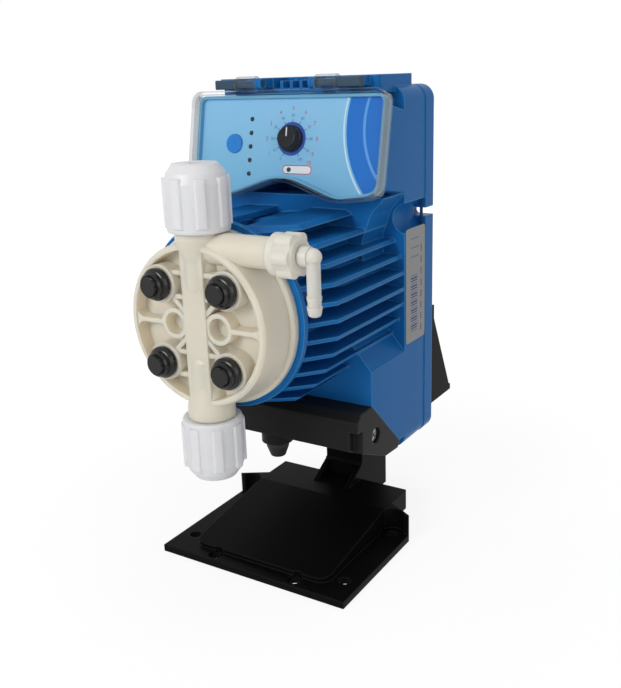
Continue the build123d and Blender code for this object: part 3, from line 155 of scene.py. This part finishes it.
# %% A finish
class Finish(Graph):
    """One material, with a Principled shader and the nodes that feed it."""

    def __init__(self, name, color, roughness=0.4, metallic=0.0, **sockets):
        self.material = bpy.data.materials.new(name)
        self.material.use_nodes = True
        super().__init__(self.material.node_tree)
        self.shader = self.tree.nodes["Principled BSDF"]
        self.set(**{"Base Color": (*color, 1.0), "Roughness": roughness, "Metallic": metallic})
        self.set(**{key.replace("_", " "): value for key, value in sockets.items()})
        self.color = color
        self.place = self.node("ShaderNodeTexCoord", {}, out="Object")

    def set(self, **values):
        for key, value in values.items():
            self.plug(self.shader.inputs[key], value)

    def axes(self):
        """X, Y and Z of the surface point, in millimetres."""
        split = self.node("ShaderNodeSeparateXYZ", {}, self.place)
        others = [Signal(self, split.socket.node.outputs[axis]) for axis in "XYZ"]
        return [one * MM_PER_METRE for one in others]

    def noise(self, scale, detail=3.0):
        return self.node("ShaderNodeTexNoise", {}, Vector=self.place, Scale=scale, Detail=detail)

    def mix(self, mask, first, second):
        made = self.tree.nodes.new("ShaderNodeMix")
        made.data_type = "RGBA"
        for index, value in ((0, mask), (6, first), (7, second)):
            if isinstance(value, tuple):
                value = (*value, 1.0)
            self.plug(made.inputs[index], value)
        return Signal(self, made.outputs[2])

    def bump(self, height, strength, distance, soft_normal=None):
        """Fine relief, over a softened normal where there is one."""
        made = self.node("ShaderNodeBump", {}, Strength=strength, Distance=distance, Height=height)
        if soft_normal:
            self.plug(made.socket.node.inputs["Normal"], soft_normal)
        self.set(Normal=made)

    def moulded(self, grain=900.0, depth=0.00004, shade=0.06, strength=0.25, edge=0.0, edge_highlight=None):
        """Fine spark grain, with a slow drift of colour and gloss.

        An edge radius, in metres, makes sharp corners catch the light, and an edge colour, where given, is
        painted there as a highlight along the edges.
        """
        fine = self.noise(grain, 2.0)
        slow = self.noise(14.0, 4.0)
        lighter = tuple(min(1.0, part * (1 + shade) + 0.002) for part in self.color)
        darker = tuple(part * (1 - shade) for part in self.color)
        tone = self.mix(slow, darker, lighter)
        soft_normal = None
        if edge:
            soft_normal = self.node("ShaderNodeBevel", {"samples": 6}, Radius=edge)
        # Painted highlight: where an edge colour is given, it is mixed in along the edges, where the softened
        # normal turns from the flat one.
        if edge_highlight:
            flat_normal = self.node("ShaderNodeNewGeometry", {}, out="Normal")
            facing = self.node("ShaderNodeVectorMath", {"operation": "DOT_PRODUCT"}, soft_normal, flat_normal,
                               out="Value")
            tone = self.mix(((1.0 - facing) * EDGE_GAIN).least(EDGE_MOST).most(0.0), tone, edge_highlight)
        self.set(**{"Base Color": tone})
        self.set(Roughness=self.shader.inputs["Roughness"].default_value - 0.05 + 0.1 * slow)
        self.bump(fine, strength, depth, soft_normal)
        return self


def dress(finish, *nodes):
    """Give CAD nodes or new pieces a finish."""
    for name in nodes:
        slots = bpy.data.objects[name].data.materials
        slots.clear()
        slots.append(finish.material)


# %% [markdown]
# ## Moulded casing
# The casing is injection moulded in glass-filled plastic: a strong blue with a low, even gloss. Its
# colour drifts a little where the flow met, and a fine spark grain breaks up the reflections.

# %% Blue casing
casing_blue = Finish("casing_blue", (0.010, 0.145, 0.43), 0.3, Specular_IOR_Level=0.06)
# The lighter blue mixed in along the edges is a painted highlight.
casing_blue.moulded(edge=0.0012, edge_highlight=(0.085, 0.34, 0.66))
dress(casing_blue, "housing", "back_cover")
gasket_blue = Finish("gasket_blue", (0.006, 0.05, 0.17), 0.6).moulded(500.0, 0.00006, 0.1)
dress(gasket_blue, "case_gasket")
print("casing done")

# %% [markdown]
# ## Wetted parts
# The head is natural, slightly see-through plastic with a warm cream tone. The hose nuts are whiter.
# A little subsurface light softens both.

# %% Cream head, white nuts
head_cream = Finish("head_cream", (0.74, 0.69, 0.58), 0.36, Subsurface_Weight=0.7, Subsurface_Scale=0.006,
                    Subsurface_Radius=(1.0, 0.8, 0.55))
head_cream.moulded(500.0, 0.00005, 0.04, edge=0.0009)
dress(head_cream, "pump_head")
nut_white = Finish("nut_white", (0.78, 0.78, 0.8), 0.4, Subsurface_Weight=0.6, Subsurface_Scale=0.008,
                   Subsurface_Radius=(1.0, 0.9, 0.8))
nut_white.moulded(700.0, 0.00003, 0.02, edge=0.0007)
dress(nut_white, "discharge_nut", "suction_nut")
bleed_white = Finish("bleed_white", (0.75, 0.71, 0.63), 0.38, Subsurface_Weight=0.6, Subsurface_Scale=0.008,
                     Subsurface_Radius=(1.0, 0.85, 0.65))
bleed_white.moulded(700.0, 0.00003, 0.03, edge=0.0006)
dress(bleed_white, "bleed_knob", "bleed_elbow", "bleed_needle", "hose_spigots", "clamp_rings",
      "discharge_cage", "suction_cage", "discharge_seat", "suction_seat")
ceramic = Finish("ceramic_white", (0.86, 0.86, 0.84), 0.15, Coat_Weight=0.5).moulded(300.0, 0.00001, 0.02)
dress(ceramic, "discharge_ball", "suction_ball")

# %% [markdown]
# ## Dark mouldings
# The foot is near black with a coarse grain, the connector cover a shade lighter, and the caps
# over the bolts are polished black.

# %% Foot, cover and caps
foot_black = Finish("foot_black", (0.003, 0.0028, 0.0026), 0.38, Specular_IOR_Level=0.03)
# The grey mixed in along the foot's edges is a painted highlight.
foot_black.moulded(650.0, 0.00007, 0.15, 0.35, edge=0.001, edge_highlight=(0.02, 0.02, 0.019))
dress(foot_black, "mounting_foot")
cover_grey = Finish("cover_grey", (0.012, 0.012, 0.012), 0.4, Specular_IOR_Level=0.07)
# The grey mixed in along the cover's edges is a painted highlight.
cover_grey.moulded(800.0, 0.00005, 0.1, edge=0.0015, edge_highlight=(0.035, 0.035, 0.034))
dress(cover_grey, "connector_cover")
cap_black = Finish("cap_black", (0.004, 0.004, 0.0042), 0.22, Specular_IOR_Level=0.35)
cap_black.moulded(300.0, 0.00002, 0.1)
dress(cap_black, "bolt_caps")
rubber_black = Finish("rubber_black", (0.012, 0.012, 0.012), 0.65).moulded(500.0, 0.00006, 0.1)
dress(rubber_black, "cable_gland", "valve_seals")

# %% [markdown]
# ## Metal
# The screws and the drive are mid-grey steel, and the hinge pins are blue-grey plastic. A fine noise
# varies each metal's roughness and its bump.


# %% Steel and the rest of the metal
def metal(name, color, roughness=0.28):
    finish = Finish(name, color, roughness, 1.0)
    grain = finish.noise(2200.0, 2.0)
    finish.set(Roughness=roughness - 0.06 + 0.14 * grain)
    finish.bump(grain, 0.15, 0.00002)
    return finish


screw_steel = metal("screw_steel", (0.5, 0.5, 0.5), 0.34)
dress(screw_steel, "bracket_screws", "case_screws", "cover_screws", "head_bolts", "knob_shaft",
      "armature", "pole_piece", "return_spring", "backing_ring")
hinge_grey = Finish("hinge_grey", (0.035, 0.07, 0.11), 0.4, Specular_IOR_Level=0.2)
hinge_grey.moulded(600.0, 0.00003, 0.1)
dress(hinge_grey, "hinge_pins")
dress(metal("yoke_iron", (0.16, 0.16, 0.17), 0.5), "solenoid_yoke")
dress(metal("can_metal", (0.6, 0.61, 0.63), 0.35), "board_capacitors")
dress(metal("pillar_brass", (0.6, 0.42, 0.18), 0.35), "board_pillars")
dress(metal("coil_copper", (0.6, 0.26, 0.1), 0.4), "coil_winding")

# %% [markdown]
# ## Inside the casing
# These parts are hidden, but the model comes apart, so each has its own plain finish.

# %% Boards, switches, membrane
board_green = Finish("board_green", (0.015, 0.12, 0.04), 0.35).moulded(400.0, 0.00003, 0.1)
dress(board_green, "control_board", "power_board")
inner_black = Finish("inner_black", (0.02, 0.02, 0.02), 0.5).moulded(500.0, 0.00004, 0.1)
dress(inner_black, "speed_potentiometer", "button_switch", "coil_bobbin", "guide_bush", "terminal_block")
membrane_white = Finish("membrane_white", (0.75, 0.75, 0.73), 0.4).moulded(300.0, 0.00003, 0.03)
dress(membrane_white, "diaphragm", "diaphragm_hub")

# %% [markdown]
# ## The clear lid
# Clear plastic shows mostly at its edges and in its reflections. A low alpha that rises where the
# surface turns away gives that without the dark shadows that real refraction would put on the panel.

# %% Clear lid
joints = {joint["name"]: joint for joint in frame["record"]["behaviour"]["joints"]}
panel_out = Vector(joints["dial_turn"]["axis"]).normalized()
clear = Finish("clear_lid_plastic", (0.3, 0.36, 0.4), 0.04)
turned_away = clear.node("ShaderNodeLayerWeight", {}, Blend=0.35, out="Facing")
surface = clear.node("ShaderNodeTexCoord", {}, out="Normal")
square_on = clear.node("ShaderNodeVectorMath", {"operation": "DOT_PRODUCT"}, surface, panel_out,
                       out="Value")
flatness = abs(square_on)
wall_share = (1.0 - flatness) * 0.38
clear.set(Alpha=(0.015 + wall_share + 0.5 * turned_away * turned_away * turned_away).least(0.8))
clear.bump(clear.noise(60.0, 2.0), 0.05, 0.0002)
dress(clear, "clear_lid")

# %% [markdown]
# ## The printed panel
# The panel's film is a field of pale blue with a deeper blue area and two thin arcs. Under the
# knob is a dark disc, and below it a pale field with a red line for the alarm lamp. All of it is flat
# print, so it is shader maths in the panel's own plane: x across, and v up the slope from the knob's
# centre.

# %% The panel's plane
dial_at = Vector(joints["dial_turn"]["pos_m"])
panel_up = panel_out.cross(Vector((1, 0, 0))).normalized()


def on_panel(x, v, height=0.0):
    """Point on the panel, in millimetres from the dial's centre, as a place in the frame."""
    return dial_at + Vector((x, 0, 0)) * MM + panel_up * (v * MM) + panel_out * (height * MM)


print("panel leans back", round(90 - panel_out.angle(Vector((0, 0, 1))) * 180 / pi, 1), "degrees")

# %% The panel's print
arc_at = (86, 8)
deep_reach = 54.0
pale_arc = (55.4, 0.45)
blue_arc = (44.0, 0.7)
dial_disc = 8.6
pill_across = 4.6
pill_below = 15.6
pill_straight = (6.6, 0.1)
pill_round = 2.0
pill_line = 0.22
print_depth = 0.25
film = Finish("panel_film", (0.2, 0.5, 0.72), 0.3, Specular_IOR_Level=0.1)
x_mm, y_mm, z_mm = film.axes()
across = x_mm - dial_at.x * MM_PER_METRE
from_dial_y = y_mm - dial_at.y * MM_PER_METRE
from_dial_z = z_mm - dial_at.z * MM_PER_METRE
up = (from_dial_y * panel_up.y) + (from_dial_z * panel_up.z)
out = (from_dial_y * panel_out.y) + (from_dial_z * panel_out.z)


def reach(x, v):
    """Distance from a point of the print."""
    return ((across - x) * (across - x) + (up - v) * (up - v)).root()


def band(distance, radius, half):
    """Mask of a thin ring."""
    return abs(distance - radius) < half


field = film.mix((up * 0.02 + 0.5).least(1.0).most(0.0), (0.2, 0.5, 0.74), (0.3, 0.62, 0.9))
arc_middle = reach(*arc_at)
field = film.mix(arc_middle < deep_reach, field, (0.008, 0.17, 0.62))
field = film.mix(band(arc_middle, *pale_arc), field, (0.6, 0.82, 0.95))
field = film.mix(band(arc_middle, *blue_arc), field, (0.12, 0.38, 0.8))
field = film.mix(reach(0, 0) < dial_disc, field, (0.03, 0.09, 0.42))
pill_x = (abs(across - pill_across) - pill_straight[0]).most(0.0)
pill_v = (abs(up + pill_below) - pill_straight[1]).most(0.0)
pill = (pill_x * pill_x + pill_v * pill_v).root()
field = film.mix(pill < pill_round, field, (0.8, 0.86, 0.9))
field = film.mix(band(pill, pill_round, pill_line), field, (0.6, 0.02, 0.03))
flat_print = abs(out) < print_depth
film.set(**{"Base Color": film.mix(flat_print, (0.17, 0.44, 0.64), field)})
film.bump(film.noise(700.0, 2.0), 0.1, 0.00002)
dress(film, "control_panel")

# %% Button, knob and lamps
button_blue = Finish("button_blue", (0.012, 0.22, 0.66), 0.35, Specular_IOR_Level=0.2)
button_blue.moulded(600.0, 0.00003, 0.06)
dress(button_blue, "select_button")
knob_dark = Finish("knob_dark", (0.004, 0.004, 0.006), 0.25, Specular_IOR_Level=0.15)
knob_dark.moulded(500.0, 0.00003, 0.1, edge=0.0006)
dress(knob_dark, "speed_knob")
lamp_dark = Finish("lamp_dark", (0.006, 0.02, 0.022), 0.2, Specular_IOR_Level=0.3)
lamp_dark.moulded(200.0, 0.00001, 0.1)
dress(lamp_dark, "indicator_lamps", "alarm_lamp")

# %% [markdown]
# ## Printed scale
# Eleven ticks stand round the knob, with a blue row of numbers from 0 to 100 and an outer red row from
# 1 to 10. Each is a thin layer of ink, made as a mesh in the flat and then laid on the panel.


# %% Helpers for new pieces
def finished(name, mesh_data, finish, body):
    """Turn a bmesh into a piece that rides on a body."""
    mesh = bpy.data.meshes.new(name)
    mesh_data.to_mesh(mesh)
    mesh_data.free()
    piece = bpy.data.objects.new(name, mesh)
    bpy.context.scene.collection.objects.link(piece)
    piece.data.materials.append(finish.material)
    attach(piece, body)
    return piece


def lay_on_panel(vectors, height):
    """Move flat points, in millimetres, on to the panel."""
    for vertex in vectors:
        vertex.co = on_panel(vertex.co.x, vertex.co.y, vertex.co.z + height)


def tile(mesh_data, width, length, thick, place):
    """A thin square-cornered bar, placed by a matrix."""
    made = bmesh.ops.create_cube(mesh_data, size=1.0)
    bmesh.ops.scale(mesh_data, vec=(width, length, thick), verts=made["verts"])
    bmesh.ops.transform(mesh_data, matrix=place, verts=made["verts"])
    return made["verts"]


# %% Ticks round the dial
tick_radius = 9.3
tick_width = 0.35
tick_length = 1.4
ink_height = 0.02
ink_dark = Finish("ink_dark", (0.01, 0.03, 0.16), 0.5).moulded(900.0, 0.00001, 0.1)
lowest, highest = joints["dial_turn"]["range_deg"]
sweep = highest - lowest
start_angle = 90.0 + sweep / 2


def scale_angle(step):
    """Angle of one of the eleven steps of the scale, clockwise from the lowest."""
    return radians(start_angle - sweep * step / 10)


ticks = bmesh.new()
for step in range(11):
    angle = scale_angle(step)
    turn = Matrix.Rotation(angle - pi / 2, 4, "Z")
    place = Matrix.Translation((tick_radius * cos(angle), tick_radius * sin(angle), 0.0)) @ turn
    tile(ticks, tick_width, tick_length, 2 * ink_height, place)
lay_on_panel(ticks.verts, ink_height)
finished("dial_ticks", ticks, ink_dark, "pump")


# %% Numbers round the dial
def printed_number(name, value, size, radius, angle, finish):
    """A number in ink at a place on the scale."""
    text = bpy.data.curves.new(name, "FONT")
    text.body = str(value)
    text.size = size
    text.align_x = "CENTER"
    text.align_y = "CENTER"
    text.extrude = ink_height
    holder = bpy.data.objects.new(name, text)
    bpy.context.scene.collection.objects.link(holder)
    evaluated = holder.evaluated_get(bpy.context.evaluated_depsgraph_get())
    flat = bpy.data.meshes.new_from_object(evaluated)
    bpy.data.objects.remove(holder)
    number = bmesh.new()
    number.from_mesh(flat)
    bmesh.ops.translate(number, vec=(radius * cos(angle), radius * sin(angle), 0.0), verts=number.verts)
    lay_on_panel(number.verts, ink_height)
    finished(name, number, finish, "pump")


ink_blue = Finish("ink_blue", (0.02, 0.14, 0.42), 0.5).moulded(900.0, 0.00001, 0.1)
ink_red = Finish("ink_red", (0.5, 0.06, 0.13), 0.5).moulded(900.0, 0.00001, 0.1)
number_size = 2.1
number_radius = 11.9
step_size = 3.1
step_radius = 15.4
last_radius = 16.4
last_shift = radians(13)
for step in range(11):
    angle = scale_angle(step)
    printed_number("dial_number_%02d" % step, step * 10, number_size, number_radius, angle, ink_blue)
for step in range(1, 10):
    printed_number("dial_step_%02d" % step, step, step_size, step_radius, scale_angle(step), ink_red)
printed_number("dial_step_10", 10, step_size, last_radius, scale_angle(10) + last_shift, ink_red)
print("scale printed")

# %% Pointer on the knob
ink_white = Finish("ink_white", (0.8, 0.8, 0.8), 0.45).moulded(900.0, 0.00001, 0.03)
knob_points = [vertex.co - dial_at for vertex in bpy.data.objects["speed_knob"].data.vertices]
knob_front = max(point.dot(panel_out) for point in knob_points)
pointer_width = 0.8
pointer_length = 4.3
pointer_middle = 3.0
pointer_sunk = 0.55
pointer = bmesh.new()
tile(pointer, pointer_width, pointer_length, pointer_width, Matrix.Translation((0, pointer_middle, 0)))
lay_on_panel(pointer.verts, knob_front / MM - pointer_sunk)
finished("knob_pointer", pointer, ink_white, "dial")
print("knob front at", round(knob_front * MM_PER_METRE, 2), "mm")

# %% [markdown]
# ## Screw heads
# Every screw that shows has a cross recess. The heads are found on the model: the screws' mesh is
# merged, walked island by island, and each island's far end along the screw is a head. A dark cross
# of two thin bars lies on it as painted shade in place of the hollow, which costs far fewer faces than
# cutting each head.


# %% Cross recesses as painted shade
def heads(node, axis, sign):
    """Middle of the outer end of each separate screw of a node, on one side of the object."""
    merged = bmesh.new()
    merged.from_mesh(bpy.data.objects[node].data)
    bmesh.ops.remove_doubles(merged, verts=merged.verts, dist=0.00001)
    left = set(merged.verts)
    found = []
    while left:
        island = []
        edge = [left.pop()]
        while edge:
            vertex = edge.pop()
            island.append(vertex.co.copy())
            near = {link.other_vert(vertex) for link in vertex.link_edges} & left
            left -= near
            edge.extend(near)
        low = [min(point[part] for point in island) for part in range(3)]
        high = [max(point[part] for point in island) for part in range(3)]
        middle = Vector([(a + b) / 2 for a, b in zip(low, high)])
        middle[axis] = high[axis] if sign > 0 else low[axis]
        if (high[axis] + low[axis]) * sign > 0:
            found.append(middle)
    merged.free()
    return found


def crosses(name, places, outward, length, width):
    """Painted shade of cross recesses, as dark bars on screw heads that face along one direction."""
    facing = Vector(outward).to_track_quat("Z", "Y").to_matrix().to_4x4()
    marks = bmesh.new()
    for place in places:
        for angle in (pi / 4, 3 * pi / 4):
            flat = Matrix.Translation(place + Vector(outward) * 0.00002) @ facing
            tile(marks, width, length, 0.00006, flat @ Matrix.Rotation(angle, 4, "Z"))
    finished(name, marks, recess_painted_shade, "pump")
    print(name, "on", len(places), "heads")


# The dark bars are painted shade that stands in for the hollow of each recess.
recess_painted_shade = Finish("recess_painted_shade", (0.03, 0.03, 0.03), 0.6, 0.5).moulded(900.0, 0.00001, 0.1)
crosses("case_screw_recess_shade", heads("case_screws", 1, 1), (0, 1, 0), length=0.0036, width=0.0008)
crosses("bracket_screw_recess_shade", heads("bracket_screws", 1, 1), (0, 1, 0), length=0.0045, width=0.001)
for side, side_name in ((1, "right"), (-1, "left")):
    places = heads("cover_screws", 0, side)
    crosses("cover_screw_recess_" + side_name, places, (side, 0, 0), length=0.0038, width=0.0009)

# %% [markdown]
# ## Type plate
# A thin silver plate sits flat on the casing's side. It carries only ruled boxes and bars.

# %% Silver plate
plate_x = 53.5 * MM
plate_low = Vector((plate_x, 39.5 * MM, 116 * MM))
plate_high = Vector((plate_x, 63.5 * MM, 180 * MM))
plate_middle = (plate_low + plate_high) / 2
plate_size = plate_high - plate_low


def plate_piece(name, pieces, finish):
    """Bars and rules that lie on the casing's side, from (y, z, width, height, lift, thickness)."""
    mesh_data = bmesh.new()
    for y, z, width, height, lift, thick in pieces:
        made = bmesh.ops.create_cube(mesh_data, size=1.0)
        bmesh.ops.scale(mesh_data, vec=(thick, width, height), verts=made["verts"])
        bmesh.ops.translate(mesh_data, vec=(plate_x + lift + thick / 2, y, z), verts=made["verts"])
    return finished(name, mesh_data, finish, "pump")


plate_thick = 0.0003
silver = Finish("plate_silver", (0.26, 0.26, 0.26), 0.4, 0.2, Specular_IOR_Level=0.2)
silver.moulded(1500.0, 0.00001, 0.05)
plate = bmesh.new()
bmesh.ops.create_cube(plate, size=1.0)
bmesh.ops.scale(plate, vec=(plate_thick, plate_size.y, plate_size.z), verts=plate.verts)
upright = [edge for edge in plate.edges if abs((edge.verts[0].co - edge.verts[1].co).x) > 0.0001]
bmesh.ops.bevel(plate, geom=upright, offset=0.002, segments=5, profile=0.5, affect="EDGES", material=-1)
bmesh.ops.translate(plate, vec=plate_middle + Vector((0.00015, 0, 0)), verts=plate.verts)
finished("type_plate", plate, silver, "pump")
plate_margin = 6
bar_pitch = 1.5
rule_pitch = 6.5
box_pitch = 5
ink_thick = 0.00003
bars = []
for step in range(22):
    height = (0.5 + 0.5 * ((step * 7) % 3)) * MM
    z = plate_low.z + (plate_margin + step * bar_pitch) * MM
    bars.append((plate_middle.y - 2 * MM, z, 8 * MM, height * 0.7, plate_thick, ink_thick))
for step in range(8):
    z = plate_low.z + (plate_margin + step * rule_pitch) * MM
    bars.append((plate_middle.y + 7 * MM, z, 1.0 * MM, 4 * MM, plate_thick, ink_thick))
for step in range(3):
    z = plate_high.z - (plate_margin + step * box_pitch) * MM
    bars.append((plate_middle.y - 1 * MM, z, 10 * MM, 0.4 * MM, plate_thick, ink_thick))
plate_piece("plate_bars", bars, ink_dark)
print("plate laid")

# %% [markdown]
# ## Studio
# A pale floor, soft lamps and a camera that looks slightly down from the right of the front.

# %% Floor and world
WORLD_FILL = 0.36
floor = bmesh.new()
bmesh.ops.create_grid(floor, x_segments=1, y_segments=1, size=6.0)
floor_mesh = bpy.data.meshes.new("studio_floor")
floor.to_mesh(floor_mesh)
floor.free()
floor_piece = bpy.data.objects.new("studio_floor", floor_mesh)
bpy.context.scene.collection.objects.link(floor_piece)
pale = Finish("floor_pale", (0.9, 0.9, 0.9), 0.9)
floor_x, floor_y, _ = pale.axes()
far = ((floor_x * floor_x + floor_y * floor_y).root() * 0.002 - 0.3).most(0.0).least(1.0)
glow = pale.node("ShaderNodeEmission", {}, Strength=1.1)
seen = pale.ray_kinds("Is Camera Ray", "Is Glossy Ray", "Is Transmission Ray")
share = seen * (0.78 + 0.22 * far)
lit = Signal(pale, pale.shader.outputs[0])
blended = pale.node("ShaderNodeMixShader", {}, share, lit, glow)
pale.plug(pale.tree.nodes["Material Output"].inputs["Surface"], blended)
floor_mesh.materials.append(pale.material)

world = bpy.data.worlds.new("studio_world")
bpy.context.scene.world = world
world.use_nodes = True
sky = Graph(world.node_tree)
back = world.node_tree.nodes["Background"]
sky.plug(back.inputs["Color"], (1, 1, 1, 1))
seen_sky = sky.ray_kinds("Is Camera Ray", "Is Glossy Ray", "Is Transmission Ray")
sky.plug(back.inputs["Strength"], WORLD_FILL + (1.0 - WORLD_FILL) * seen_sky)


# %% Lamps
def lamp(name, place, aim, size, power):
    data = bpy.data.lights.new(name, "AREA")
    data.size = size
    data.energy = power
    holder = bpy.data.objects.new(name, data)
    bpy.context.scene.collection.objects.link(holder)
    holder.location = place
    holder.rotation_euler = (Vector(aim) - Vector(place)).to_track_quat("-Z", "Y").to_euler()


middle = (0, 0, 0.14)
lamp("key_lamp", (-0.25, -1.15, 0.65), middle, 0.45, 6.4)
lamp("side_lamp", (1.0, -0.8, 0.45), middle, 0.7, 2.2)
lamp("top_lamp", (0.1, 0.1, 1.3), middle, 0.6, 2.2)

# %% Camera
camera_at = (0.253377, -0.373796, 0.260447)
focal_length = 866.174
picture_width = 621
pan = radians(32.377)
tip = radians(17.270)
roll = radians(-1.988)
ahead = Vector((-sin(pan) * cos(tip), cos(pan) * cos(tip), -sin(tip)))
right = Vector((cos(pan), sin(pan), 0))
above = right.cross(ahead)
rolled_right = right * cos(roll) + above * sin(roll)
rolled_up = above * cos(roll) - right * sin(roll)
camera_data = bpy.data.cameras.new("studio_camera")
camera = bpy.data.objects.new("studio_camera", camera_data)
bpy.context.scene.collection.objects.link(camera)
pose = Matrix((rolled_right, rolled_up, -ahead)).transposed().to_4x4()
camera.matrix_world = Matrix.Translation(camera_at) @ pose
camera_data.sensor_fit = "HORIZONTAL"
camera_data.sensor_width = 36.0
camera_data.lens = focal_length / picture_width * camera_data.sensor_width
camera_data.clip_start = 0.01
bpy.context.scene.camera = camera
bpy.context.scene.view_settings.view_transform = "Standard"
